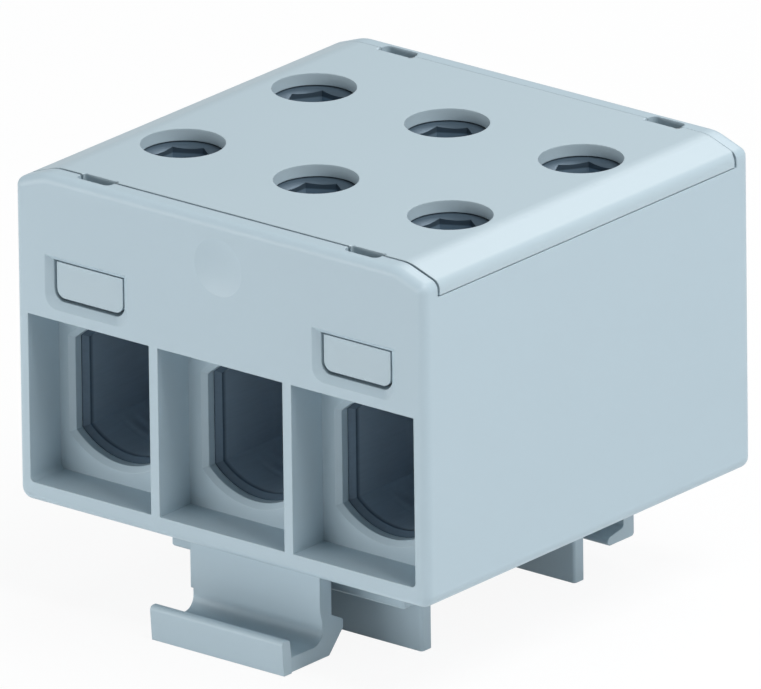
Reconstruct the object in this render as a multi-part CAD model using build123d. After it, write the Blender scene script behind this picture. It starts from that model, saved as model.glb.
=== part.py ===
from build123d import *
from math import atan2, cos, degrees, radians, tan
import os

# Feed-through terminal block for a 35 mm rail: three poles side by side, six clamping screws.
# Row frame, in millimetres: X runs along the rail, -Y is the front, +Z is up.
# The origin lies in the plane where the rail's flanges seat, midway between front and back.

# Poles
POLE_COUNT = 3
PITCH = 16.0

# Clamping terminals
TERMINAL_WIDTH = 13.5
TERMINAL_LENGTH = 36.2
TERMINAL_FLOOR = 1.35
TERMINAL_ROOF = 11.45
TERMINAL_EDGE = 0.4
TUNNEL_WIDTH = 10.0
TUNNEL_HEIGHT = 12.6
TUNNEL_CROWN = 1.95
TUNNEL_LEAD = 0.5

# Clamping screws
SCREW_FROM_END = 8.5
SCREW_DIAMETER = 10.0
SCREW_LENGTH = 14.65
SCREW_POINT = 0.5
THREAD_CLEARANCE = 0.05
HEX_ACROSS_FLATS = 5.1
HEX_DEPTH = 6.0
COUNTERSINK_WIDTH = 6.0
COUNTERSINK_ANGLE = 138.0
HEX_TURNS = {"front": (29.0, 29.0, 29.0), "back": (-5.0, 29.0, -5.0)}

# Housing
PEDESTAL_HEIGHT = 5.1
CHAMBER_FLOOR = 2.95
CHAMBER_GAP = 0.1
SIDE_WALL = 1.7
END_WALL = 1.95
ENTRY_DEPTH = 4.45
ENTRY_WALL = 1.25
ENTRY_LEAD = 0.55
ENTRY_LEAD_DEPTH = 0.4
ENTRY_MARGIN = 0.48
ENTRY_FLOOR = 1.98
ENTRY_HEIGHT = 16.67
ENTRY_PARTITION = 1.04
ENTRY_SIDE_WALL = 1.46
ENTRY_CEILING = 1.3
ENTRY_CORNER = 0.5
EDGE_RADIUS = 0.9
SHOULDER_RADIUS = 0.95
BASE_RADIUS = 1.2
SHOULDER_RUN = 3.5
SHOULDER_DROP = 1.26
SHOULDER_BEND = 4.0
DIMPLE_RADIUS = 2.85
DIMPLE_DEPTH = 0.35
DIMPLE_BELOW_TOP = 4.6

# Cover
COVER_PLATE = 1.2
COVER_END_GAP = 0.3
COVER_SIDE_GAP = 0.1
SCREW_TOP_GAP = 0.1
SIDE_SEAM_BELOW_TOP = 2.53
DRIVER_HOLE_DIAMETER = 8.0
DRIVER_HOLE_EDGE = 0.3

# Snap tongues of the cover, and the windows that catch them
WINDOW_WIDTH = 8.45
WINDOW_HEIGHT = 4.0
WINDOW_BELOW_TOP = 8.4
WINDOW_CORNER = 1.15
BEVEL_DEPTH = 0.51
BEVEL_SIDE = 0.72
BEVEL_TOP = 0.5
BEVEL_BOTTOM = 0.75
BEVEL_CORNER = 1.4
HOOK_RECESS = 0.59
HOOK_SIDE_GAP = 0.26
HOOK_TOP_GAP = 0.17
HOOK_SILL_GAP = 0.33
HOOK_CORNER = 0.95
TONGUE_SETBACK = 0.65
TONGUE_THICKNESS = 1.4
SLOT_LENGTH = 4.0
SLOT_FRONT = 1.06
SLOT_BACK = 2.53
SLOT_CORNER = 0.6
SLOT_COVER_CORNER = 0.3
SLOT_EDGE = 0.2

# Rail and the feet that hold it
RAIL_WIDTH = 35.0
RAIL_SHEET = 1.0
FOOT_LENGTH = 28.0
PEDESTAL_WIDTH = 29.1
PEDESTAL_EDGE = 0.3
RIB_SPAN = 24.0
RIB_THICKNESS = 1.5
RIB_ROUND = 0.3
CORE_END_WALL = 1.6
FOOT_DEPTH = 4.9
HOOK_PLAY = 0.3
HOOK_LEG = 1.52
HOOK_TOE = 2.2
HOOK_TOE_GAP = 0.44
HOOK_TOE_SLOPE = 0.45
HOOK_TOE_BOTTOM = 2.69
HOOK_ROUND = 0.35

# Latch, which swings on a bead along its upper edge
LATCH_LENGTH = 15.5
LATCH_WEB = 1.65
LATCH_PLAY = 0.05
LATCH_FLOOR = 1.45
LATCH_UNDERCUT = 0.3
LIP_LENGTH = 15.9
LIP_REACH = 7.45
LIP_THICKNESS = 1.1
LIP_HEIGHT = 3.4
LIP_LEAN = 0.25
LIP_ROUND = 0.4
CATCH_REACH = 1.65
CATCH_SLOPE = 0.85
CATCH_NOSE = 0.85
CATCH_FOOT = 0.4
CATCH_ROUND = 0.3
GROOVE_ROUND = 1.3
BEAD_RADIUS = 1.0
BEAD_NECK = 1.1
BEAD_CLEARANCE = 0.05
NECK_DROP = 0.3
SWING_ROOM = 0.3
LATCH_END_GAP = 0.1

# How far a cut runs past the faces it opens, and how near counts as the same place
OVERRUN = 1.0
NEAR = 0.01

# Heights, each following from the pieces stacked below it
BODY_BASE = PEDESTAL_HEIGHT
CHAMBER_BASE = BODY_BASE + CHAMBER_FLOOR
TUNNEL_BASE = CHAMBER_BASE + TERMINAL_FLOOR
TUNNEL_TOP = TUNNEL_BASE + TUNNEL_HEIGHT
TUNNEL_CENTRE = (TUNNEL_BASE + TUNNEL_TOP) / 2
BORE_BASE = TUNNEL_BASE + TUNNEL_CROWN
TERMINAL_TOP = TUNNEL_TOP + TERMINAL_ROOF
SCREW_TOP = TUNNEL_TOP + SCREW_LENGTH
PLATE_UNDERSIDE = SCREW_TOP + SCREW_TOP_GAP
BODY_TOP = PLATE_UNDERSIDE + COVER_PLATE
SIDE_SEAM = BODY_TOP - SIDE_SEAM_BELOW_TOP
ENTRY_BASE = BODY_BASE + ENTRY_FLOOR
ENTRY_TOP = ENTRY_BASE + ENTRY_HEIGHT
POCKET_BASE = ENTRY_TOP + ENTRY_CEILING
WINDOW_TOP = BODY_TOP - WINDOW_BELOW_TOP
WINDOW_BASE = WINDOW_TOP - WINDOW_HEIGHT

# Widths and lengths
CHAMBER_WIDTH = TERMINAL_WIDTH + 2 * CHAMBER_GAP
CHAMBER_LENGTH = TERMINAL_LENGTH + 2 * CHAMBER_GAP
END_POLE = (POLE_COUNT - 1) / 2 * PITCH
CAVITY_HALF = END_POLE + CHAMBER_WIDTH / 2
BODY_HALF_WIDTH = CAVITY_HALF + SIDE_WALL
BODY_HALF_DEPTH = CHAMBER_LENGTH / 2 + ENTRY_WALL + ENTRY_DEPTH
CROWN_HALF = BODY_HALF_WIDTH - SHOULDER_RUN
END_WALL_INNER = BODY_HALF_DEPTH - END_WALL
COVER_HALF_LENGTH = END_WALL_INNER - COVER_END_GAP
POLES = [(n - (POLE_COUNT - 1) / 2) * PITCH for n in range(POLE_COUNT)]
SNAP_POLES = [POLES[0], POLES[-1]]
SCREW_ROW = TERMINAL_LENGTH / 2 - SCREW_FROM_END
SCREW_ROWS = {"front": -SCREW_ROW, "back": SCREW_ROW}

# The latch's swing axis, above the middle of its web
RAIL_EDGE = RAIL_WIDTH / 2
WEB_BACK = -(RAIL_EDGE + LATCH_PLAY)
WEB_FRONT = WEB_BACK - LATCH_WEB
PIVOT_Y = (WEB_BACK + WEB_FRONT) / 2
PIVOT_Z = BODY_BASE + BEAD_RADIUS


def box_between(low, high):
    """A box from its lowest corner to its highest."""
    size = [high[i] - low[i] for i in range(3)]
    middle = [(high[i] + low[i]) / 2 for i in range(3)]
    return Pos(*middle) * Box(*size)


def both_ends(shape):
    """The shape and its mirror image, one at the front and one at the back."""
    return shape + mirror(shape, about=Plane.XZ)


def along_x(outline, half_length):
    """A solid with a Y-Z outline, carried along X and centred on it."""
    return extrude(Plane.YZ * outline, half_length, both=True)


def body_block():
    """The outer form shared by housing and cover: shouldered top, every outer edge rounded."""
    shoulder = BODY_TOP - SHOULDER_DROP
    outline = Polyline(
        (-BODY_HALF_WIDTH, BODY_BASE),
        (BODY_HALF_WIDTH, BODY_BASE),
        (BODY_HALF_WIDTH, shoulder),
        (CROWN_HALF, BODY_TOP),
        (-CROWN_HALF, BODY_TOP),
        (-BODY_HALF_WIDTH, shoulder),
        close=True,
    )
    section = make_face(outline)
    bends = section.vertices().group_by(Axis.Y)[-1]
    section = fillet(bends, SHOULDER_BEND)
    section = fillet(section.vertices().group_by(Axis.Y)[0], BASE_RADIUS)
    shoulders = section.vertices().filter_by(lambda v: abs(v.Y - shoulder) < NEAR)
    section = fillet(shoulders, SHOULDER_RADIUS)
    block = extrude(Plane.XZ * section, BODY_HALF_DEPTH, both=True)
    ends = block.faces().filter_by(Axis.Y)
    return fillet(ends.edges(), EDGE_RADIUS)


def tunnel_outline(margin=0.0):
    """Wire passage, straight at the sides and arched at floor and roof, grown by a margin."""
    half = TUNNEL_WIDTH / 2
    side = TUNNEL_HEIGHT / 2 - TUNNEL_CROWN
    arched = TUNNEL_HEIGHT / 2
    outline = [
        Line((-half, -side), (-half, side)),
        ThreePointArc((-half, side), (0, arched), (half, side)),
        Line((half, side), (half, -side)),
        ThreePointArc((half, -side), (0, -arched), (-half, -side)),
    ]
    section = make_face(outline)
    return offset(section, margin, kind=Kind.INTERSECTION) if margin else section


def tunnel_cut(start, depth, margin=0.0, lead=0.0):
    """A cut with the passage's outline, from y = start towards +Y, narrowing by lead along its depth."""
    plane = Plane(origin=(0, start, TUNNEL_CENTRE), x_dir=(1, 0, 0), z_dir=(0, -1, 0))
    return extrude(plane * tunnel_outline(margin), -depth, taper=degrees(atan2(lead, depth)))


def entry_cuts():
    """Wire entries at the front: a recess and a bell-mouthed hole in front of each terminal."""
    front = -BODY_HALF_DEPTH
    hole_start = front + ENTRY_DEPTH
    cuts = Part()
    for n, pole in enumerate(POLES):
        left = pole - PITCH / 2 + ENTRY_PARTITION / 2
        right = pole + PITCH / 2 - ENTRY_PARTITION / 2
        if n == 0:
            left = -BODY_HALF_WIDTH + ENTRY_SIDE_WALL
        if n == POLE_COUNT - 1:
            right = BODY_HALF_WIDTH - ENTRY_SIDE_WALL
        recess = box_between((left, front - OVERRUN, ENTRY_BASE), (right, hole_start, ENTRY_TOP))
        sills = recess.edges().filter_by(Axis.Y).group_by(Axis.Z)[0].sort_by(Axis.X)
        if n == 0:
            recess = fillet(sills[0], ENTRY_CORNER)
        if n == POLE_COUNT - 1:
            recess = fillet(sills[-1], ENTRY_CORNER)
        cuts += recess
        hole = tunnel_cut(hole_start - CHAMBER_GAP, ENTRY_WALL + 2 * CHAMBER_GAP, ENTRY_MARGIN)
        mouth = tunnel_cut(hole_start, ENTRY_LEAD_DEPTH, ENTRY_MARGIN + ENTRY_LEAD, ENTRY_LEAD)
        cuts += Pos(pole, 0, 0) * (hole + mouth)
    return cuts


def chamber_cuts():
    """Three chambers for the terminals, widened above the entries so that the tongues can bend."""
    cuts = Part()
    above = BODY_TOP + OVERRUN
    for pole in POLES:
        half = CHAMBER_WIDTH / 2
        left, right = pole - half, pole + half
        cuts += box_between((left, -CHAMBER_LENGTH / 2, CHAMBER_BASE), (right, CHAMBER_LENGTH / 2, above))
        cuts += box_between((left, -END_WALL_INNER, POCKET_BASE), (right, END_WALL_INNER, above))
    return cuts


def cover_seat_cuts():
    """The room that the cover takes: down to the partitions inside, and to the seam at the sides."""
    above = BODY_TOP + OVERRUN
    beside = BODY_HALF_WIDTH + OVERRUN
    lowered = SIDE_SEAM - COVER_SIDE_GAP / 2
    cuts = box_between((-beside, -END_WALL_INNER, PLATE_UNDERSIDE), (beside, END_WALL_INNER, above))
    for side in (-1, 1):
        reach = sorted((side * CAVITY_HALF, side * beside))
        cuts += box_between((reach[0], -END_WALL_INNER, lowered), (reach[1], END_WALL_INNER, above))
    return cuts


def window_outline(side, top, bottom, corner):
    """A window grown by the given margins, with its two lower corners rounded."""
    half = WINDOW_WIDTH / 2 + side
    low, high = WINDOW_BASE - bottom, WINDOW_TOP + top
    section = make_face(Polyline((-half, low), (half, low), (half, high), (-half, high), close=True))
    return fillet(section.vertices().group_by(Axis.Y)[0], corner)


def window_cut():
    """A snap window in the front wall, with a bevelled frame on its outer side."""
    front = Plane(origin=(0, -BODY_HALF_DEPTH, 0), x_dir=(1, 0, 0), z_dir=(0, -1, 0))
    inner = front.offset(-BEVEL_DEPTH)
    straight = extrude(front * window_outline(0, 0, 0, WINDOW_CORNER), -END_WALL - OVERRUN)
    wide = front * window_outline(BEVEL_SIDE, BEVEL_TOP, BEVEL_BOTTOM, BEVEL_CORNER)
    narrow = inner * window_outline(0, 0, 0, WINDOW_CORNER)
    return straight + loft([wide, narrow], ruled=True)


def wall_slot_cut():
    """The housing's half of a release slot, which opens into the window below it."""
    front = -BODY_HALF_DEPTH + SLOT_FRONT
    back = -END_WALL_INNER + OVERRUN
    half = SLOT_LENGTH / 2
    section = make_face(Polyline((-half, front), (half, front), (half, back), (-half, back), close=True))
    section = fillet(section.vertices().group_by(Axis.Y)[0], SLOT_CORNER)
    height = BODY_TOP + OVERRUN - WINDOW_TOP
    return extrude(Plane.XY.offset(WINDOW_TOP) * section, height)


def dimple_cut():
    """A shallow round dish in the middle of the front face."""
    ball = (DIMPLE_RADIUS**2 + DIMPLE_DEPTH**2) / (2 * DIMPLE_DEPTH)
    centre_y = -BODY_HALF_DEPTH + DIMPLE_DEPTH - ball
    return Pos(0, centre_y, BODY_TOP - DIMPLE_BELOW_TOP) * Sphere(ball)


def pedestal():
    """The raised seat for the rail, with its two ribs, hollow between them."""
    half = FOOT_LENGTH / 2
    seat = box_between((-half, -PEDESTAL_WIDTH / 2, 0), (half, PEDESTAL_WIDTH / 2, BODY_BASE + OVERRUN))
    seat = fillet(seat.edges().filter_by(Axis.Z), PEDESTAL_EDGE)
    seat = chamfer(seat.faces().sort_by(Axis.Z)[0].edges(), PEDESTAL_EDGE / 2)
    rib = box_between(
        (-half, RIB_SPAN / 2 - RIB_THICKNESS, -FOOT_DEPTH),
        (half, RIB_SPAN / 2, BODY_BASE + OVERRUN),
    )
    rib = fillet(rib.edges().filter_by(Axis.Z), RIB_ROUND)
    inner = RIB_SPAN / 2 - RIB_THICKNESS
    core = box_between(
        (-half + CORE_END_WALL, -inner, -FOOT_DEPTH),
        (half - CORE_END_WALL, inner, BODY_BASE),
    )
    return seat + both_ends(rib) - core


def rear_hook():
    """The fixed hook behind the rail, with a sloping toe under the rail's flange."""
    inner = RAIL_EDGE + HOOK_PLAY
    toe_top = -(RAIL_SHEET + HOOK_TOE_GAP)
    outline = Polyline(
        (inner, BODY_BASE + OVERRUN),
        (inner, toe_top),
        (inner - HOOK_TOE, toe_top - HOOK_TOE_SLOPE),
        (inner - HOOK_TOE - HOOK_ROUND, -HOOK_TOE_BOTTOM),
        (inner + HOOK_LEG, -HOOK_TOE_BOTTOM),
        (inner + HOOK_LEG, BODY_BASE + OVERRUN),
        close=True,
    )
    section = make_face(outline)
    section = fillet(section.vertices().filter_by(lambda v: v.Y < 0), HOOK_ROUND)
    return along_x(section, FOOT_LENGTH / 2)


def latch_pocket_cut():
    """The groove under the housing that holds the latch's bead and leaves its neck room to swing."""
    half = LATCH_LENGTH / 2 + LATCH_END_GAP
    bore = Rot(0, 90, 0) * Cylinder(BEAD_RADIUS + BEAD_CLEARANCE, 2 * half)
    mouth = box_between(
        (-half, -BEAD_NECK / 2 - SWING_ROOM, -BEAD_RADIUS - OVERRUN),
        (half, BEAD_NECK / 2 + BEAD_CLEARANCE, 0),
    )
    return Pos(0, PIVOT_Y, PIVOT_Z) * (bore + mouth)


def make_housing():
    """One moulding: body, pedestal, ribs and rear hook, with everything cut from it."""
    snap_cut = window_cut() + wall_slot_cut()
    snaps = Part()
    for pole in SNAP_POLES:
        snaps += Pos(pole, 0, 0) * snap_cut
    body = body_block()
    body -= chamber_cuts()
    body -= cover_seat_cuts()
    body -= both_ends(entry_cuts())
    body -= both_ends(snaps)
    body -= dimple_cut()
    body += pedestal()
    body += rear_hook()
    return body - latch_pocket_cut()


def cover_cavity():
    """The hollow under the cover's plate, following the shoulders at an even thickness."""
    slope = SHOULDER_DROP / SHOULDER_RUN
    bend = CROWN_HALF - COVER_PLATE * tan(atan2(SHOULDER_DROP, SHOULDER_RUN) / 2)
    edge_height = PLATE_UNDERSIDE - slope * (CAVITY_HALF - bend)
    outline = Polyline(
        (-CAVITY_HALF, SIDE_SEAM - OVERRUN),
        (CAVITY_HALF, SIDE_SEAM - OVERRUN),
        (CAVITY_HALF, edge_height),
        (bend, PLATE_UNDERSIDE),
        (-bend, PLATE_UNDERSIDE),
        (-CAVITY_HALF, edge_height),
        close=True,
    )
    return extrude(Plane.XZ * make_face(outline), COVER_HALF_LENGTH + OVERRUN, both=True)


def snap_tongue():
    """A tongue under the cover's front edge, with the hook that shows in the window."""
    nose = -BODY_HALF_DEPTH + HOOK_RECESS
    face = -END_WALL_INNER + TONGUE_SETBACK
    inner = face + TONGUE_THICKNESS
    half = WINDOW_WIDTH / 2 - HOOK_SIDE_GAP
    low, high = WINDOW_BASE + HOOK_SILL_GAP, WINDOW_TOP - HOOK_TOP_GAP
    tongue = box_between((-half, face, low), (half, inner, PLATE_UNDERSIDE + COVER_PLATE / 2))
    snap = tongue + box_between((-half, nose, low), (half, face, high))
    return fillet(snap.edges().filter_by(Axis.Y).group_by(Axis.Z)[0], HOOK_CORNER)


def cover_slot_cut():
    """The cover's half of a release slot."""
    back = -BODY_HALF_DEPTH + SLOT_BACK
    half = SLOT_LENGTH / 2
    slot = box_between((-half, -END_WALL_INNER, PLATE_UNDERSIDE - OVERRUN), (half, back, BODY_TOP + OVERRUN))
    return fillet(slot.edges().filter_by(Axis.Z).group_by(Axis.Y)[-1], SLOT_COVER_CORNER)


def is_slot_rim(edge):
    """True for an edge where a release slot opens through the cover's top face."""
    middle = edge.center()
    on_top = abs(middle.Z - BODY_TOP) < NEAR
    beside = min(abs(middle.X - pole) for pole in SNAP_POLES) < SLOT_LENGTH / 2 + NEAR
    inside = BODY_HALF_DEPTH - SLOT_BACK - NEAR < abs(middle.Y) < COVER_HALF_LENGTH - NEAR
    return on_top and beside and inside


def make_cover():
    """The clipped cover: plate, shoulders, four tongues, six driver holes."""
    room = box_between(
        (-BODY_HALF_WIDTH - OVERRUN, -COVER_HALF_LENGTH, SIDE_SEAM + COVER_SIDE_GAP / 2),
        (BODY_HALF_WIDTH + OVERRUN, COVER_HALF_LENGTH, BODY_TOP + OVERRUN),
    )
    shell = (body_block() & room) - cover_cavity()
    hole = Cylinder(DRIVER_HOLE_DIAMETER / 2, 4 * COVER_PLATE)
    for pole in POLES:
        for row in SCREW_ROWS.values():
            shell -= Pos(pole, row, BODY_TOP) * hole
    rims = shell.faces().sort_by(Axis.Z)[-1].inner_wires().edges()
    shell = chamfer(rims, DRIVER_HOLE_EDGE)
    slots = Part()
    tongues = Part()
    for pole in SNAP_POLES:
        slots += Pos(pole, 0, 0) * cover_slot_cut()
        tongues += Pos(pole, 0, 0) * snap_tongue()
    shell -= both_ends(slots)
    shell = chamfer(shell.edges().filter_by(is_slot_rim), SLOT_EDGE)
    return shell + both_ends(tongues)


def latch_outline():
    """The latch's section: bead, neck, web, catch, screwdriver groove and lip."""
    foot = -FOOT_DEPTH
    catch_top = -RAIL_SHEET
    tip = WEB_BACK + CATCH_REACH
    lip_front = WEB_BACK - LIP_REACH
    lip_top = foot + LIP_HEIGHT
    groove = foot + LATCH_FLOOR
    shoulder = BODY_BASE - NECK_DROP
    outline = Polyline(
        (PIVOT_Y - BEAD_NECK / 2, PIVOT_Z),
        (PIVOT_Y - BEAD_NECK / 2, shoulder),
        (WEB_FRONT, shoulder),
        (WEB_FRONT, catch_top),
        (WEB_FRONT + LATCH_UNDERCUT, catch_top - LATCH_UNDERCUT),
        (WEB_FRONT + LATCH_UNDERCUT, groove),
        (lip_front + LIP_THICKNESS + LIP_LEAN, groove),
        (lip_front + LIP_THICKNESS, lip_top),
        (lip_front, lip_top),
        (lip_front + LIP_LEAN, foot),
        (WEB_BACK - CATCH_FOOT, foot),
        (tip, catch_top - CATCH_SLOPE - CATCH_NOSE),
        (tip, catch_top - CATCH_SLOPE),
        (WEB_BACK, catch_top),
        (WEB_BACK, shoulder),
        (PIVOT_Y + BEAD_NECK / 2, shoulder),
        (PIVOT_Y + BEAD_NECK / 2, PIVOT_Z),
        close=True,
    )
    return make_face(outline), groove, lip_top


def make_latch():
    """The J-shaped latch in front of the rail, one moulding along the rail, widest at its lip."""
    section, groove, lip_top = latch_outline()
    on_floor = section.vertices().filter_by(lambda v: abs(v.Y - groove) < NEAR)
    in_groove = on_floor.sort_by(Axis.X)[-1]
    section = fillet(in_groove, GROOVE_ROUND)
    on_lip = section.vertices().filter_by(lambda v: abs(v.Y - lip_top) < NEAR)
    section = fillet(on_lip, LIP_ROUND)
    on_catch = section.vertices().filter_by(lambda v: v.X > WEB_BACK + CATCH_REACH - NEAR)
    section = fillet(on_catch, CATCH_ROUND)
    lip_end = WEB_BACK - LIP_REACH + LIP_THICKNESS + LIP_LEAN
    lip_room = box_between((-LIP_LENGTH, lip_end - LIP_REACH, -2 * FOOT_DEPTH), (LIP_LENGTH, lip_end, 0))
    lip = along_x(section, LIP_LENGTH / 2) & lip_room
    bead = Pos(0, PIVOT_Y, PIVOT_Z) * Rot(0, 90, 0) * Cylinder(BEAD_RADIUS, LATCH_LENGTH)
    return along_x(section, LATCH_LENGTH / 2) + lip + bead


def make_terminal():
    """A clamping terminal on the middle pole: arched passage right through, two tapped holes."""
    half_width, half_length = TERMINAL_WIDTH / 2, TERMINAL_LENGTH / 2
    block = box_between((-half_width, -half_length, CHAMBER_BASE), (half_width, half_length, TERMINAL_TOP))
    block = chamfer(block.edges().filter_by(Axis.Y), TERMINAL_EDGE)
    block -= tunnel_cut(-half_length - OVERRUN, TERMINAL_LENGTH + 2 * OVERRUN)
    lead = tunnel_cut(-half_length, TUNNEL_LEAD, TUNNEL_LEAD, TUNNEL_LEAD)
    block -= both_ends(lead)
    radius = SCREW_DIAMETER / 2 + THREAD_CLEARANCE
    hole = Cylinder(radius, TERMINAL_TOP - BORE_BASE + OVERRUN, align=(Align.CENTER, Align.CENTER, Align.MIN))
    for row in SCREW_ROWS.values():
        block -= Pos(0, row, BORE_BASE) * hole
    return block


def make_screw(turn):
    """A clamping screw on its own axis, its hexagon socket turned by some degrees."""
    radius = SCREW_DIAMETER / 2
    shank = Cylinder(radius, SCREW_LENGTH, align=(Align.CENTER, Align.CENTER, Align.MAX))
    shank = chamfer(shank.edges().group_by(Axis.Z)[0], SCREW_POINT)
    corner = HEX_ACROSS_FLATS / 2 / cos(radians(30))
    socket = extrude(RegularPolygon(corner, 6, rotation=turn), -HEX_DEPTH)
    sink_depth = COUNTERSINK_WIDTH / 2 / tan(radians(COUNTERSINK_ANGLE / 2))
    sink = Cone(0, COUNTERSINK_WIDTH / 2, sink_depth, align=(Align.CENTER, Align.CENTER, Align.MAX))
    return shank - socket - sink


def write(shape, name):
    """Writes one piece as parts/NAME.step."""
    export_step(shape, f"parts/{name}.step")


os.makedirs("parts", exist_ok=True)
write(make_housing(), "housing")
write(make_cover(), "cover")
write(make_latch(), "rail_latch")
terminal = make_terminal()
for n, pole in enumerate(POLES):
    write(Pos(pole, 0, 0) * terminal, f"terminal_{n + 1}")
    for row, y in SCREW_ROWS.items():
        screw = make_screw(HEX_TURNS[row][n])
        write(Pos(pole, y, SCREW_TOP) * screw, f"clamp_screw_{n + 1}_{row}")
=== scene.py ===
# %% [markdown]
# # A feed-through terminal block, dressed for a portrait
#
# The solids of this part already have their real shapes: a moulded housing, a clipped cover, a latch,
# three metal terminals and six socket screws. This lesson gives them their finish, adds the fine forms
# that a solid model leaves out, such as the screws' threads, and sets up light and camera.
# Lengths are in metres, because that is Blender's unit. MM turns a number of millimetres into metres.

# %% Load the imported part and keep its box
import math

import bmesh
import bpy
import numpy as np
from mathutils import Matrix, Vector


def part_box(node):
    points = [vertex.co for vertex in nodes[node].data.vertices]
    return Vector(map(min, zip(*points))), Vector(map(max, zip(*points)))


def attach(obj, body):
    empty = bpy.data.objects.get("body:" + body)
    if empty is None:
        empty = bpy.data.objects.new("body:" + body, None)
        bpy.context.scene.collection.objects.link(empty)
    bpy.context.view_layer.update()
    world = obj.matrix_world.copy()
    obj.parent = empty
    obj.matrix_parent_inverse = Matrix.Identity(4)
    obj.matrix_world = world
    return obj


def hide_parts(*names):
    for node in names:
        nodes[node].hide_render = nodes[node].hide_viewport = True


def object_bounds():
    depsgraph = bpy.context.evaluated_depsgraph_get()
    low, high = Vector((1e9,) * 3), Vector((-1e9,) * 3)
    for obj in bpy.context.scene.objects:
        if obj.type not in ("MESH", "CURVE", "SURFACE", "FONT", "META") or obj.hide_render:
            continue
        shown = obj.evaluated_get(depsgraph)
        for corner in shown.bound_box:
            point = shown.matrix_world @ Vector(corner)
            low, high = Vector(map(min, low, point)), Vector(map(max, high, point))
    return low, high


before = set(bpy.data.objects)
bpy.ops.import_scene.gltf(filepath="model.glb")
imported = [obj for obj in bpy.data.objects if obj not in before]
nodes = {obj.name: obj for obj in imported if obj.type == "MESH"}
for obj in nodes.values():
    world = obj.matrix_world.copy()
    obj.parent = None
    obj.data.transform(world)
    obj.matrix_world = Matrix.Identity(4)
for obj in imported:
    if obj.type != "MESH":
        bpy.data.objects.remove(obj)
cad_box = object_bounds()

MM = 0.001


# %% [markdown]
# ## The camera
#
# The photograph was taken from far away with a long lens, so parallel edges stay almost parallel.
# A camera is a position, three axes and a lens. The three axes come from two angles: how far the
# camera has walked round the block, and how steeply it looks down. A third, tiny angle rolls it.
# The lens is written as a focal length in pixels of a 761-pixel-wide frame, which is easy to measure
# on a photograph, and is turned into millimetres on Blender's 36 mm sensor.
# The real camera stood about twice as far away. Half the distance with half the lens gives almost the
# same picture, and it keeps the lens short enough for views that take the camera round the block.

# %% Place the camera
CAMERA_WALK = math.radians(39.533)
CAMERA_TILT = math.radians(20.277)
CAMERA_ROLL = math.radians(-0.728)
CAMERA_DISTANCE = 2750 * MM
FOCAL_PIXELS = 29571
FRAME_WIDTH = 761
SENSOR_WIDTH = 36
MIDDLE_OF_BLOCK = Vector((0, 1.1, 17.45)) * MM
AIM_LEFT = 1.053 * MM
AIM_UP = 0.962 * MM


def new_object(name, data):
    """A new object in the scene, at the origin, that holds a mesh, a lamp's data or a camera's data."""
    obj = bpy.data.objects.new(name, data)
    bpy.context.scene.collection.objects.link(obj)
    return obj


def camera_axes(walk, tilt, roll):
    """The camera's right, up and forward: walk turns about Z, tilt lowers the gaze, roll leans it."""
    right = Vector((math.cos(walk), math.sin(walk), 0))
    forward = Vector((
        -math.sin(walk) * math.cos(tilt),
        math.cos(walk) * math.cos(tilt),
        -math.sin(tilt),
    ))
    up = right.cross(forward)
    leaned_right = math.cos(roll) * right + math.sin(roll) * up
    leaned_up = -math.sin(roll) * right + math.cos(roll) * up
    return leaned_right, leaned_up, forward


def make_camera():
    """A long-lens camera whose frame's middle lies a little left of and above the block's middle."""
    right, up, forward = camera_axes(CAMERA_WALK, CAMERA_TILT, CAMERA_ROLL)
    data = bpy.data.cameras.new("portrait_camera")
    data.sensor_width = SENSOR_WIDTH
    data.lens = FOCAL_PIXELS / FRAME_WIDTH * SENSOR_WIDTH
    camera = new_object("portrait_camera", data)
    aim = MIDDLE_OF_BLOCK - AIM_LEFT * right + AIM_UP * up
    turn = Matrix((right, up, -forward)).transposed().to_4x4()
    camera.matrix_world = Matrix.Translation(aim - CAMERA_DISTANCE * forward) @ turn
    bpy.context.scene.camera = camera
    return camera


camera = make_camera()
print("camera lens in mm:", round(camera.data.lens, 1))


# %% [markdown]
# ## Small tools for materials
#
# A colour picked from a picture is in display units from 0 to 255. Shaders want linear light, so one
# helper converts it. The others keep each material short: they add a shader node and set its inputs,
# do one step of arithmetic, or scale a colour. The last ones make a node group, which is a little
# shader program with named inputs and outputs that several materials can share, and place it.

# %% Colour and node helpers
def linear(red, green, blue):
    """Display values, 0 to 255, as linear light: a straight line below 0.04045, a power of 2.4 above."""
    display = np.array([red, green, blue]) / 255
    light = np.where(display <= 0.04045, display / 12.92, ((display + 0.055) / 1.055) ** 2.4)
    return (*light.tolist(), 1.0)


def add(tree, kind, inputs=None, **settings):
    """A new node of that kind, with its settings and with values for some inputs, by name or number."""
    node = tree.nodes.new(kind)
    for name, value in settings.items():
        setattr(node, name, value)
    for name, value in (inputs or {}).items():
        node.inputs[name].default_value = value
    return node


def feed(tree, socket, value):
    """Sets a socket to a plain number, or joins another node's output to it."""
    if isinstance(value, (int, float)):
        socket.default_value = value
    else:
        tree.links.new(value, socket)


def calculate(tree, operation, *values):
    """One step of arithmetic on values that are plain numbers or other nodes' outputs."""
    node = add(tree, "ShaderNodeMath", operation=operation)
    for socket, value in zip(node.inputs, values):
        feed(tree, socket, value)
    return node.outputs["Value"]


def scaled(tree, tone, level):
    """A tone made lighter or darker: each of its channels times the level."""
    node = add(tree, "ShaderNodeVectorMath", operation="SCALE")
    tree.links.new(tone, node.inputs[0])
    tree.links.new(level, node.inputs["Scale"])
    return node.outputs["Vector"]


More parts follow.
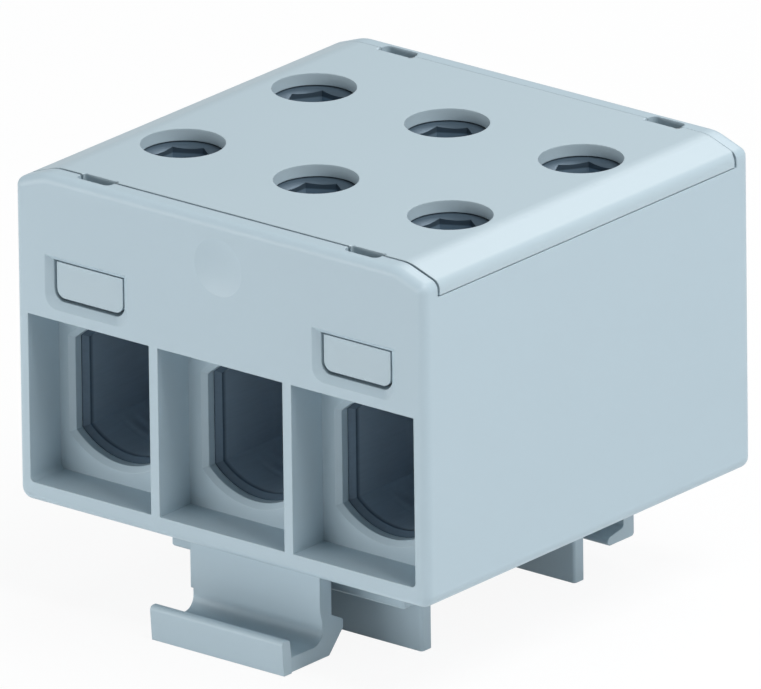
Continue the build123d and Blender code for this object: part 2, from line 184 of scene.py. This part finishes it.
def new_group(name, inputs, outputs):
    """A shader node group with the given sockets, as (name, type, default), and its two end nodes."""
    group = bpy.data.node_groups.new(name, "ShaderNodeTree")
    for label, kind, default in inputs:
        socket = group.interface.new_socket(label, in_out="INPUT", socket_type=kind)
        if default is not None:
            socket.default_value = default
    for label, kind in outputs:
        group.interface.new_socket(label, in_out="OUTPUT", socket_type=kind)
    return group, group.nodes.new("NodeGroupInput"), group.nodes.new("NodeGroupOutput")


def use_group(tree, group, values):
    """A node that places a group in a material, with that material's own values."""
    return add(tree, "ShaderNodeGroup", values, node_tree=group)


print("mid grey, 128 of 255, in linear light:", round(linear(128, 128, 128)[0], 3))


# %% [markdown]
# A material starts with an empty node tree and one Principled shader, which can be plastic or metal.
# An object may already carry another material, so dressing it clears its slots first.

# %% Material helpers
def emptied_tree(owner):
    """The node tree of a material or a world, with nothing in it."""
    owner.use_nodes = True
    owner.node_tree.nodes.clear()
    return owner.node_tree


def new_material(name):
    """A material with a Principled shader joined to its output."""
    material = bpy.data.materials.new(name)
    tree = emptied_tree(material)
    shader = add(tree, "ShaderNodeBsdfPrincipled")
    end = add(tree, "ShaderNodeOutputMaterial")
    tree.links.new(shader.outputs["BSDF"], end.inputs["Surface"])
    return material, tree, shader


def dress(obj, material):
    """Gives an object one material in place of whatever it had."""
    obj.data.materials.clear()
    obj.data.materials.append(material)


# %% [markdown]
# ## Moulded plastic
#
# The housing, the cover and the latch are one family of satin, light blue-grey plastic. Such a part
# comes out of a steel mould whose surface was spark-eroded, so it carries a grain far finer than a
# millimetre: too fine to see as bumps, but it softens every reflection. Colour and gloss also drift
# very slightly where the melt flowed.
# Both are noise on Object coordinates, so they stay put when a piece moves. The noise's scale counts
# its waves in a metre, so a grain is about 0.2 mm across and a patch of drift about 17 mm.

# %% Node group: moulded grain
GRAINS_PER_METRE = 5200.0
DRIFTS_PER_METRE = 60.0
DRIFT_AMOUNT = 0.03


def moulded_grain():
    """Height is the fine noise; tone and roughness are multiplied by 1 + amount x (slow noise - 0.5)."""
    group, start, end = new_group(
        "moulded_grain",
        [("Grains per Metre", "NodeSocketFloat", GRAINS_PER_METRE),
         ("Drifts per Metre", "NodeSocketFloat", DRIFTS_PER_METRE),
         ("Drift Amount", "NodeSocketFloat", DRIFT_AMOUNT),
         ("Tone", "NodeSocketColor", None), ("Roughness", "NodeSocketFloat", None)],
        [("Color", "NodeSocketColor"), ("Roughness", "NodeSocketFloat"), ("Height", "NodeSocketFloat")],
    )
    link = group.links.new
    place = add(group, "ShaderNodeTexCoord")
    grain = add(group, "ShaderNodeTexNoise", {"Detail": 2.0, "Roughness": 0.6})
    drift = add(group, "ShaderNodeTexNoise", {"Detail": 3.0, "Roughness": 0.5})
    link(place.outputs["Object"], grain.inputs["Vector"])
    link(place.outputs["Object"], drift.inputs["Vector"])
    link(start.outputs["Grains per Metre"], grain.inputs["Scale"])
    link(start.outputs["Drifts per Metre"], drift.inputs["Scale"])
    centred = calculate(group, "SUBTRACT", drift.outputs["Fac"], 0.5)
    level = calculate(group, "MULTIPLY_ADD", centred, start.outputs["Drift Amount"], 1.0)
    rough = calculate(group, "MULTIPLY", start.outputs["Roughness"], level)
    link(scaled(group, start.outputs["Tone"], level), end.inputs["Color"])
    link(rough, end.inputs["Roughness"])
    link(grain.outputs["Fac"], end.inputs["Height"])
    return group


grain_group = moulded_grain()
print("group:", grain_group.name, "nodes:", len(grain_group.nodes))


# %% [markdown]
# No moulded edge is truly sharp, and the line of light along an edge is what makes plastic look like
# plastic. A Bevel node gives that line without new faces: within a radius of an edge it turns the
# surface's normal from one face towards the other. The grain's bump is laid over it.

# %% The three plastics
GRAIN_STRENGTH = 0.15
GRAIN_DEPTH = 0.004 * MM
EDGE_RADIUS = 0.12 * MM
EDGE_SAMPLES = 6
PLASTIC_IOR = 1.46
SHELL_TONE = linear(175, 194, 204)
COVER_TONE = linear(177, 195, 204)
SHELL_ROUGHNESS = 0.42
LATCH_ROUGHNESS = 0.45


def moulded_plastic(name, tone, roughness):
    """Satin moulded plastic: grain as bump, drift in tone and roughness, and softened edges."""
    material, tree, shader = new_material(name)
    link = tree.links.new
    grain = use_group(tree, grain_group, {"Tone": tone, "Roughness": roughness})
    soft_edge = add(tree, "ShaderNodeBevel", {"Radius": EDGE_RADIUS}, samples=EDGE_SAMPLES)
    bump = add(tree, "ShaderNodeBump", {"Strength": GRAIN_STRENGTH, "Distance": GRAIN_DEPTH})
    link(grain.outputs["Height"], bump.inputs["Height"])
    link(soft_edge.outputs["Normal"], bump.inputs["Normal"])
    link(bump.outputs["Normal"], shader.inputs["Normal"])
    link(grain.outputs["Color"], shader.inputs["Base Color"])
    link(grain.outputs["Roughness"], shader.inputs["Roughness"])
    shader.inputs["IOR"].default_value = PLASTIC_IOR
    return material


housing_plastic = moulded_plastic("housing_plastic", SHELL_TONE, SHELL_ROUGHNESS)
cover_plastic = moulded_plastic("cover_plastic", COVER_TONE, SHELL_ROUGHNESS)
latch_plastic = moulded_plastic("latch_plastic", SHELL_TONE, LATCH_ROUGHNESS)
dress(nodes["housing"], housing_plastic)
dress(nodes["cover"], cover_plastic)
dress(nodes["rail_latch"], latch_plastic)
print("plastics:", housing_plastic.name, cover_plastic.name, latch_plastic.name)


# %% [markdown]
# ## Copies that may be reshaped
#
# The cover and the latch need small changes that would be wrong in the solids, which were measured as
# they are. So a copy of the solid's mesh is taken and stands in for it. A solid's mesh is
# loose triangles, whose corners are welded first. Its smooth shading lies in the normals of the
# triangles' corners, so they are kept, and only faces that were turned get new ones.

# %% A stand-in for a solid
WELD = 0.0005 * MM


def welded_copy(node, name):
    """A copy of a solid's mesh whose loose triangles share their corners, and its corner normals."""
    mesh = nodes[node].data.copy()
    mesh.name = name
    normals = np.empty(3 * len(mesh.loops), dtype=np.float32)
    mesh.corner_normals.foreach_get("vector", normals)
    work = bmesh.new()
    work.from_mesh(mesh)
    bmesh.ops.remove_doubles(work, verts=work.verts, dist=WELD)
    work.to_mesh(mesh)
    work.free()
    return mesh, normals.reshape(-1, 3)


def stand_in(node, body, material, reshape, renormal):
    """A welded copy of a solid, with moved points and new normals, that rides and stands for it."""
    mesh, normals = welded_copy(node, "fitted_" + node)
    flat = np.empty(3 * len(mesh.vertices), dtype=np.float32)
    mesh.vertices.foreach_get("co", flat)
    points = flat.reshape(-1, 3)
    reshape(points)
    mesh.vertices.foreach_set("co", flat)
    corners = np.empty(len(mesh.loops), dtype=np.int32)
    mesh.loops.foreach_get("vertex_index", corners)
    renormal(points[corners].reshape(-1, 3, 3), normals.reshape(-1, 3, 3))
    mesh.normals_split_custom_set(normals)
    mesh.update()
    piece = new_object(mesh.name, mesh)
    dress(piece, material)
    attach(piece, body)
    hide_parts(node)
    print(piece.name, "faces:", len(mesh.polygons), "of", len(nodes[node].data.polygons))
    return piece


# %% [markdown]
# ## The cover, pushed home
#
# A clipped cover has a little play between the end walls. The solid sits in the middle of that play,
# but the block in the picture has its cover pushed to the rear: a fine dark line shows along the front
# wall, and none along the back wall, except low on the steep shoulder. One way would be to slide the
# whole cover, but then its hooks would leave their windows. So only the upper rear edge of a copy moves
# back, by a distance that grows with height.
# The solid's holes and slots have a cut edge that catches light as a pale ring. The real rims are
# tighter, so here the lower line of each cut edge rises almost to the top face.

# %% Close the rear seam and tighten the rims
NEAR = 0.02 * MM
PLATE_REAR = 21.65 * MM
REAR_PLAY = 0.3 * MM
LEFT_OPEN = 0.02 * MM
SEAM_CLOSES = (36.6 * MM, 36.9 * MM)
TOP_LEVEL = 37.95 * MM
SAME_LEVEL = 0.005 * MM
HOLE_EDGE = 0.3 * MM
SLOT_EDGE = 0.2 * MM
RIM_LEFT = 0.01 * MM


def share(value, low, high):
    """0 below low, 1 above high, and a straight line between, for a whole array."""
    return np.clip((value - low) / (high - low), 0, 1)


def cover_shape(points):
    """Rear face: y + play x share(height). Lower line of each rim: z = top less what is left of it."""
    at_rear = np.abs(points[:, 1] - PLATE_REAR) < NEAR
    points[:, 1] += at_rear * (REAR_PLAY - LEFT_OPEN) * share(points[:, 2], *SEAM_CLOSES)
    for edge in (HOLE_EDGE, SLOT_EDGE):
        on_rim = np.abs(points[:, 2] - (TOP_LEVEL - edge)) < SAME_LEVEL
        points[on_rim, 2] = TOP_LEVEL - RIM_LEFT


def cover_normals(faces, normals):
    """Every face that lies on the top face, or between it and a tightened rim, looks straight up."""
    lowest = faces[:, :, 2].min(axis=1)
    normals[lowest > TOP_LEVEL - 2 * RIM_LEFT] = (0, 0, 1)


cover = stand_in("cover", "housing", cover_plastic, cover_shape, cover_normals)


# %% [markdown]
# ## The latch's web
#
# Where the latch's web meets its screwdriver groove, the solid has a short undercut step. On the real
# moulding the web leans into the groove over more than a millimetre, so no edge shows. The upper line
# of the step rises, and the leaning strip takes the web's own normal, so both shade as one surface.
# The latch's two ends look along the rail and keep their normals: LOOKS_ALONG tells them by the part of
# a normal that points that way.

# %% Ease the web into the groove
WEB_FRONT = -19.2 * MM
STEP_DEPTH = 0.3 * MM
STEP_TOP = -1.0 * MM
STEP_RISE = 0.9 * MM
LOOKS_ALONG = 0.5


def latch_shape(points):
    """Upper line of the step: z + rise, where y is the web's front."""
    on_line = (np.abs(points[:, 1] - WEB_FRONT) < NEAR) & (np.abs(points[:, 2] - STEP_TOP) < NEAR)
    points[on_line, 2] += STEP_RISE


def latch_normals(faces, normals):
    """Every face that lies within the step's box, apart from the two ends, looks straight forward."""
    y, z = faces[:, :, 1], faces[:, :, 2]
    in_depth = (y > WEB_FRONT - NEAR) & (y < WEB_FRONT + STEP_DEPTH + NEAR)
    in_height = (z > STEP_TOP - STEP_DEPTH - NEAR) & (z < STEP_TOP + STEP_RISE + NEAR)
    not_an_end = np.abs(normals[:, 0, 0]) < LOOKS_ALONG
    normals[(in_depth & in_height).all(axis=1) & not_an_end] = (0, -1, 0)


latch = stand_in("rail_latch", "latch", latch_plastic, latch_shape, latch_normals)


# %% [markdown]
# ## Metal inside
#
# The terminals are tin-plated blocks with a milled skin, and the screws are zinc-plated steel. Both
# lie deep in the housing, where little light reaches them, so their colour matters less than a soft
# sheen. Milling leaves fine parallel lines along the block, and turning leaves rings round a screw.
# Both are the same noise, stretched: a small number of waves in a metre along the tool's way, and a
# large one across it.

# %% Node group: fine tool lines
LINE_CONTRAST = 0.2


def tool_lines():
    """Height is noise on stretched coordinates; tone is multiplied by 1 + contrast x (noise - 0.5)."""
    group, start, end = new_group(
        "tool_lines",
        [("Stretch", "NodeSocketVector", (1.0, 1.0, 1.0)), ("Tone", "NodeSocketColor", None),
         ("Contrast", "NodeSocketFloat", LINE_CONTRAST)],
        [("Color", "NodeSocketColor"), ("Height", "NodeSocketFloat")],
    )
    link = group.links.new
    place = add(group, "ShaderNodeTexCoord")
    stretched = add(group, "ShaderNodeVectorMath", operation="MULTIPLY")
    link(place.outputs["Object"], stretched.inputs[0])
    link(start.outputs["Stretch"], stretched.inputs[1])
    streaks = add(group, "ShaderNodeTexNoise", {"Scale": 1.0, "Detail": 3.0, "Roughness": 0.65})
    link(stretched.outputs[0], streaks.inputs["Vector"])
    centred = calculate(group, "SUBTRACT", streaks.outputs["Fac"], 0.5)
    level = calculate(group, "MULTIPLY_ADD", centred, start.outputs["Contrast"], 1.0)
    link(scaled(group, start.outputs["Tone"], level), end.inputs["Color"])
    link(streaks.outputs["Fac"], end.inputs["Height"])
    return group


lines_group = tool_lines()
print("group:", lines_group.name, "nodes:", len(lines_group.nodes))


# %% [markdown]
# Both metals have two tones, and the place on the object tells which one shows; both are painted light
# and shade. In the terminal the metal is painted darker near each mouth, as painted shade, and lighter
# further in, as painted light in the deep, shaded passage. The screws' tops are painted darker, as
# painted shade against the lamps' sheen, while the sockets below are painted lighter, as painted light
# in the driver holes' deep shade, and that is what makes the hexagons stand out.
# So one function makes both: the second tone takes over where the distance from the origin along
# one axis passes from low to high.

# %% Plated metal in two tones
LINE_STRENGTH = 0.25
LINE_DEPTH = 0.006 * MM
PLATING_METALLIC = 0.5


def ramp(tree, value, low, high, start=0.0, end=1.0):
    """A value carried from low..high to start..end, and flat outside."""
    limits = {"From Min": low, "From Max": high, "To Min": start, "To Max": end}
    node = add(tree, "ShaderNodeMapRange", limits)
    tree.links.new(value, node.inputs["Value"])
    return node.outputs["Result"]


def distance_along(tree, axis):
    """How far a point of the object is from its origin along one axis, on either side."""
    place = add(tree, "ShaderNodeTexCoord")
    parts = add(tree, "ShaderNodeSeparateXYZ")
    tree.links.new(place.outputs["Object"], parts.inputs["Vector"])
    return calculate(tree, "ABSOLUTE", parts.outputs[axis])


def plated_metal_painted_light(name, tones, change, stretch, roughness):
    """Worked metal whose first tone gives way to the second over change, which is (axis, low, high)."""
    material, tree, shader = new_material(name)
    link = tree.links.new
    axis, low, high = change
    # The first tone is painted light and the second painted shade; this mix lays them on the metal.
    tone = add(tree, "ShaderNodeMix", data_type="RGBA")
    link(ramp(tree, distance_along(tree, axis), low, high), tone.inputs["Factor"])
    first, second = (use_group(tree, lines_group, {"Tone": t, "Stretch": stretch}) for t in tones)
    link(first.outputs["Color"], tone.inputs["A"])
    link(second.outputs["Color"], tone.inputs["B"])
    link(tone.outputs["Result"], shader.inputs["Base Color"])
    bump = add(tree, "ShaderNodeBump", {"Strength": LINE_STRENGTH, "Distance": LINE_DEPTH})
    link(first.outputs["Height"], bump.inputs["Height"])
    link(bump.outputs["Normal"], shader.inputs["Normal"])
    shader.inputs["Roughness"].default_value = roughness
    shader.inputs["Metallic"].default_value = PLATING_METALLIC
    return material


# %% [markdown]
# The terminal's lines run along the passage, and its painted shade starts 17 mm from the middle of the
# block. The screw's lines run round its axis, and its painted light gives way to painted shade just
# under the top, inside the socket's rim. A lower roughness makes a tighter, brighter sheen, so the
# screws get a little less of it.

# %% The two metals
# The passage tone is painted light deep in the terminal's shaded passage; the mouth tone is painted
# shade near each mouth.
PASSAGE_PAINTED_LIGHT_TONE = linear(164, 182, 196)
MOUTH_PAINTED_SHADE_TONE = linear(84, 103, 119)
PAINTED_SHADE_AT_MOUTH = ("Y", 17.0 * MM, 17.5 * MM)
PASSAGE_LINES = (3000.0, 260.0, 3000.0)
TERMINAL_ROUGHNESS = 0.5
# The socket tone is painted light in the driver holes' deep shade; the top tone is painted shade against
# the lamps' sheen.
SOCKET_PAINTED_LIGHT_TONE = linear(136, 160, 178)
TOP_PAINTED_SHADE_TONE = linear(82, 100, 114)
PAINTED_SOCKET_LIGHT_ENDS = ("Z", 35.95 * MM, 36.1 * MM)
SCREW_LINES = (900.0, 900.0, 5200.0)
SCREW_ROUGHNESS = 0.45

terminal_metal = plated_metal_painted_light(
    "terminal_metal", (PASSAGE_PAINTED_LIGHT_TONE, MOUTH_PAINTED_SHADE_TONE), PAINTED_SHADE_AT_MOUTH, PASSAGE_LINES, TERMINAL_ROUGHNESS)
screw_steel = plated_metal_painted_light(
    "screw_steel", (SOCKET_PAINTED_LIGHT_TONE, TOP_PAINTED_SHADE_TONE), PAINTED_SOCKET_LIGHT_ENDS, SCREW_LINES, SCREW_ROUGHNESS)
for name, node in nodes.items():
    if name.startswith("terminal"):
        dress(node, terminal_metal)
    if name.startswith("clamp_screw"):
        dress(node, screw_steel)
print("metals:", terminal_metal.name, screw_steel.name)


# %% [markdown]
# On the floor of the passage, under each screw, a few grooves run across: they bite into the wire.
# They could be cut into the block, but the real ones are shallow and hardly seen, so they are a bump:
# a wave along the passage, kept to the floor and to a short stretch under each screw. The bump that
# the metal already has goes into the new one, so that its fine lines stay.

# %% The grooves under the screws
GROOVE_PITCH = 1.8 * MM
GROOVE_ROW = 9.6 * MM
GROOVE_REACH = 4.5 * MM
GROOVE_TOP = 11.4 * MM
GROOVE_DEPTH = 0.12 * MM
GROOVE_STRENGTH = 0.6
FADES_FROM = 0.8
FLOOR_FADES_FROM = 0.9


def floor_grooves(tree):
    """sin(2 pi |y| / pitch), times a mask for the row under a screw and a mask for the floor."""
    along = distance_along(tree, "Y")
    height = distance_along(tree, "Z")
    wave = calculate(tree, "SINE", calculate(tree, "MULTIPLY", along, 2 * math.pi / GROOVE_PITCH))
    from_screw = calculate(tree, "ABSOLUTE", calculate(tree, "SUBTRACT", along, GROOVE_ROW))
    near_screw = ramp(tree, from_screw, FADES_FROM * GROOVE_REACH, GROOVE_REACH, 1.0, 0.0)
    on_floor = ramp(tree, height, FLOOR_FADES_FROM * GROOVE_TOP, GROOVE_TOP, 1.0, 0.0)
    return calculate(tree, "MULTIPLY", calculate(tree, "MULTIPLY", wave, near_screw), on_floor)


def add_grooves(material):
    """Lays the passage's grooves over the bump that a material already has."""
    tree = material.node_tree
    normal = tree.nodes["Principled BSDF"].inputs["Normal"]
    fine = normal.links[0].from_socket
    grooves = add(tree, "ShaderNodeBump", {"Strength": GROOVE_STRENGTH, "Distance": GROOVE_DEPTH})
    tree.links.new(floor_grooves(tree), grooves.inputs["Height"])
    tree.links.new(fine, grooves.inputs["Normal"])
    tree.links.new(grooves.outputs["Normal"], normal)


add_grooves(terminal_metal)
print("nodes in", terminal_metal.name, len(terminal_metal.node_tree.nodes))


# %% [markdown]
# ## The clamping screws
#
# Each screw is a threaded pin with no head. Its top has a hexagon socket with a conical rim, which is
# why the socket's edge looks scalloped: a cone meets six flat walls in six shallow arcs.
# A threaded pin could be made with a screw modifier, but one formula gives the whole skin. Every point
# has an angle round the axis and a place along a path that runs from the tip's middle, up the thread,
# over the top, and down into the socket. The radius and height of each point are worked out at once
# for the whole grid: along the thread the radius is a triangle wave that climbs one pitch per turn.
# The path stops just short of the axis at both ends, where one more point closes the skin: TIP_LEFT
# and DRILL_LEFT are the shares of the tip's and the socket's radius that it leaves.

# %% The skin of a screw as one surface
SCREW_LENGTH = 14.65 * MM
CREST_RADIUS = 5.0 * MM
THREAD_DEPTH = 0.8 * MM
THREAD_PITCH = 1.5 * MM
THREAD_STEEPNESS = 1.25
ROWS_PER_PITCH = 10
COLUMNS = 96
TIP_CHAMFER = 0.5 * MM
TOP_CHAMFER = 0.5 * MM
TIP_LEFT = 0.002
SOCKET_WIDTH = 5.1 * MM
SOCKET_DEPTH = 6.0 * MM
SOCKET_DRILL = 1.2 * MM
DRILL_LEFT = 0.02
RIM_RADIUS = 3.0 * MM
RIM_HALF_ANGLE = math.radians(69)


def thread_profile(angle, height):
    """Radius of the thread: crest less depth x a triangle wave of height and turn, in pitches.

    The wave is made steeper about its middle and clipped, which leaves flats at crest and root.
    At both ends the radius is at most what the chamfer allows, which shrinks towards the end.
    """
    turned = (height / THREAD_PITCH - angle / (2 * np.pi)) % 1.0
    triangle = 1 - np.abs(2 * turned - 1)
    groove = np.clip(0.5 + THREAD_STEEPNESS * (triangle - 0.5), 0, 1)
    radius = CREST_RADIUS - THREAD_DEPTH * groove
    from_tip = CREST_RADIUS - TIP_CHAMFER + height
    from_top = CREST_RADIUS - TOP_CHAMFER + (SCREW_LENGTH - height)
    return np.minimum(radius, np.minimum(from_tip, from_top))


def socket_outline(angle, turn):
    """Axis to hexagon wall: half its width over the cosine of the angle from the wall's middle."""
    from_corner = (angle - turn) % (np.pi / 3)
    return SOCKET_WIDTH / 2 / np.cos(from_corner - np.pi / 6)


def screw_skin(turn):
    """Points of a screw that stands on z = 0: (r cos a, r sin a, z) for rows along the path."""
    angle = turn + np.arange(COLUMNS) * 2 * np.pi / COLUMNS
    level = np.ones(COLUMNS)
    count = int(SCREW_LENGTH / THREAD_PITCH * ROWS_PER_PITCH) + 1
    thread_height = np.linspace(0, SCREW_LENGTH, count)[:, None] * level
    wall = socket_outline(angle, turn)
    rim_height = SCREW_LENGTH - (RIM_RADIUS - wall) / math.tan(RIM_HALF_ANGLE)
    floor_height = (SCREW_LENGTH - SOCKET_DEPTH) * level
    radius = np.vstack([
        TIP_LEFT * CREST_RADIUS * level, thread_profile(angle, thread_height),
        RIM_RADIUS * level, wall, wall, DRILL_LEFT * wall,
    ])
    height = np.vstack([
        0 * level, thread_height,
        SCREW_LENGTH * level, rim_height, floor_height, floor_height - SOCKET_DRILL,
    ])
    return np.stack([radius * np.cos(angle), radius * np.sin(angle), height], axis=-1)


print("a screw's rows and columns:", screw_skin(0.0).shape[:2])


# %% [markdown]
# A grid of points becomes a mesh by joining each point to its neighbours: four points make a face,
# and the last column joins the first. Both ends of the path close in one point. The signed volume,
# which is the sum of small tetrahedra from the origin to each triangle, tells whether the faces
# look outwards. If it is negative, each face's corners are read the other way round.

# %% From a grid of points to a closed mesh
SHARP_ANGLE = math.radians(32)


def closed_faces(rows, columns):
    """Corner numbers of the quads between neighbouring rows, and of a fan of triangles at either end."""
    row, column = np.meshgrid(np.arange(rows - 1), np.arange(columns), indexing="ij")
    following = (column + 1) % columns
    a, b = row * columns + column, row * columns + following
    quads = np.stack([a, b, b + columns, a + columns], axis=-1).reshape(-1, 4)
    ring = np.arange(columns)
    next_on_ring = (ring + 1) % columns
    first_pole, last_pole = rows * columns, rows * columns + 1
    last = (rows - 1) * columns
    start_fan = np.stack([np.full(columns, first_pole), next_on_ring, ring], axis=-1)
    end_fan = np.stack([np.full(columns, last_pole), last + ring, last + next_on_ring], axis=-1)
    return quads, np.vstack([start_fan, end_fan])


def signed_volume(points, triangles):
    """A sixth of the sum of the triple products of each triangle's corners."""
    a, b, c = (points[triangles[:, i]] for i in range(3))
    return float(np.einsum("ij,ij->", a, np.cross(b, c)) / 6)


def closed_mesh(name, grid):
    """A mesh from a ring grid whose first and last rows each close in their own middle point."""
    rows, columns = grid.shape[:2]
    poles = np.stack([grid[0].mean(axis=0), grid[-1].mean(axis=0)])
    points = np.vstack([grid.reshape(-1, 3), poles])
    quads, fans = closed_faces(rows, columns)
    triangles = np.vstack([quads[:, [0, 1, 2]], quads[:, [0, 2, 3]], fans])
    if signed_volume(points, triangles) < 0:
        quads, fans = quads[:, ::-1], fans[:, ::-1]
    mesh = bpy.data.meshes.new(name)
    mesh.from_pydata(points, [], quads.tolist() + fans.tolist())
    mesh.shade_smooth()
    mesh.set_sharp_from_angle(angle=SHARP_ANGLE)
    return mesh


# %% [markdown]
# Each threaded screw goes where its plain solid stands and rides on the solid's body, so it comes down
# with it to clamp a wire. A screw stops wherever it is tight, so no two need be turned alike: the turns
# below, in degrees for poles 1 to 3, follow the corners of the hexagons that the picture shows.

# %% Put the screws in place
SOCKET_TURNS = {"front": (29.0, 29.0, 29.0), "back": (-5.0, 29.0, -5.0)}


def make_screw(number, row):
    """One threaded screw where its plain solid stands, riding on the solid's body."""
    node = f"clamp_screw_{number}_{row}"
    name = f"threaded_screw_{number}_{row}"
    low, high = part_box(node)
    foot = np.array([(low.x + high.x) / 2, (low.y + high.y) / 2, low.z])
    turn = math.radians(SOCKET_TURNS[row][number - 1])
    screw = new_object(name, closed_mesh(name, screw_skin(turn) + foot))
    dress(screw, screw_steel)
    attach(screw, f"screw_{number}_{row}")
    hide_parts(node)
    return screw


screws = [make_screw(number, row) for number in (1, 2, 3) for row in ("front", "back")]
print("screws:", len(screws), "faces each:", len(screws[0].data.polygons))


# %% [markdown]
# ## Floor and sky
#
# The photograph has a plain white ground. The floor is pale paper. To the camera it is mixed with a
# plain white glow, so it reads as white while the block's own soft shadow still falls on it.
# The sky looks white too, but it lights the block only weakly, because a bright sky all round would
# fill the recesses, which are much darker than the outer faces.

# %% Lay the floor and make the sky
FLOOR_HALF = 1.5
FLOOR_LEVEL = cad_box[0][2]
PAPER_TONE = (0.86, 0.87, 0.88, 1)
WHITE = (1, 1, 1, 1)
GLOW_SHARE = 0.92
SKY_STRENGTH = 0.2


def mix(tree, share_of_second, first, second):
    """A shader that mixes two others; the share of the second is a number or a node's output."""
    mixed = add(tree, "ShaderNodeMixShader")
    feed(tree, mixed.inputs["Fac"], share_of_second)
    tree.links.new(first, mixed.inputs[1])
    tree.links.new(second, mixed.inputs[2])
    return mixed.outputs["Shader"]


def floor_material():
    """Pale diffuse paper; to the camera and in reflections it is mostly an even white."""
    material = bpy.data.materials.new("white_paper")
    tree = emptied_tree(material)
    paper = add(tree, "ShaderNodeBsdfDiffuse", {"Color": PAPER_TONE}).outputs[0]
    glow = add(tree, "ShaderNodeEmission", {"Color": WHITE, "Strength": 1.0}).outputs[0]
    path = add(tree, "ShaderNodeLightPath").outputs
    seen = calculate(tree, "MAXIMUM", path["Is Camera Ray"], path["Is Glossy Ray"])
    surface = mix(tree, seen, paper, mix(tree, GLOW_SHARE, paper, glow))
    end = add(tree, "ShaderNodeOutputMaterial")
    tree.links.new(surface, end.inputs["Surface"])
    return material


def make_floor():
    """A flat square floor at the level of the lowest point of the block."""
    across = np.array([(-1, -1), (1, -1), (1, 1), (-1, 1)]) * FLOOR_HALF
    corners = [(x, y, FLOOR_LEVEL) for x, y in across]
    mesh = bpy.data.meshes.new("floor")
    mesh.from_pydata(corners, [], [(0, 1, 2, 3)])
    floor = new_object("floor", mesh)
    dress(floor, floor_material())


def make_sky():
    """An even, weak world light that the camera sees as plain white."""
    world = bpy.data.worlds.new("pale_sky")
    tree = emptied_tree(world)
    light = add(tree, "ShaderNodeBackground", {"Color": WHITE, "Strength": SKY_STRENGTH})
    white = add(tree, "ShaderNodeBackground", {"Color": WHITE, "Strength": 1.0})
    path = add(tree, "ShaderNodeLightPath")
    surface = mix(tree, path.outputs["Is Camera Ray"], light.outputs[0], white.outputs[0])
    end = add(tree, "ShaderNodeOutputWorld")
    tree.links.new(surface, end.inputs["Surface"])
    bpy.context.scene.world = world


make_floor()
make_sky()
print("floor level in mm:", round(FLOOR_LEVEL / MM, 2))


# %% [markdown]
# ## Lamps
#
# In the photograph the top, front and right-hand faces come out almost equally bright. Each of the
# three has a soft lamp of its own. The front one is wide and low, so that the rounded edge between
# front and right side brightens evenly, with no dark band between one lamp's reach and the next.
# A fourth lamp stands behind the block. It lights the back, and its reflection is the pale sheen on
# the cover's slope.
# The table gives each lamp's place in degrees, round from the front and up, its width and height in
# metres, and its power in watts.

# %% Hang the lamps
LAMP_DISTANCE = 0.6
LAMPS = {
    "top_lamp": (95, 66, 0.35, 0.35, 2.6),
    "right_lamp": (90, 28, 0.35, 0.35, 0.95),
    "front_lamp": (-34, 6, 0.7, 0.16, 2.0),
    "back_lamp": (193, 44, 0.25, 0.25, 0.95),
}


def soft_lamp(name, walk, climb, width, height, watts):
    """A flat lamp, walk degrees round from the front and climb degrees up, that faces the block."""
    turn, rise = math.radians(walk), math.radians(climb)
    away = Vector((
        math.sin(turn) * math.cos(rise),
        -math.cos(turn) * math.cos(rise),
        math.sin(rise),
    ))
    data = bpy.data.lights.new(name, "AREA")
    data.shape = "RECTANGLE"
    data.size = width
    data.size_y = height
    data.energy = watts
    lamp = new_object(name, data)
    lamp.location = MIDDLE_OF_BLOCK + LAMP_DISTANCE * away
    lamp.rotation_euler = away.to_track_quat("Z", "Y").to_euler()


for name, place_size_and_power in LAMPS.items():
    soft_lamp(name, *place_size_and_power)
print("lamps:", list(LAMPS))


# %% [markdown]
# ## View settings and the closing lines
#
# The Standard view shows colours as they are written.

# %% Finish
bpy.context.scene.view_settings.view_transform = "Standard"
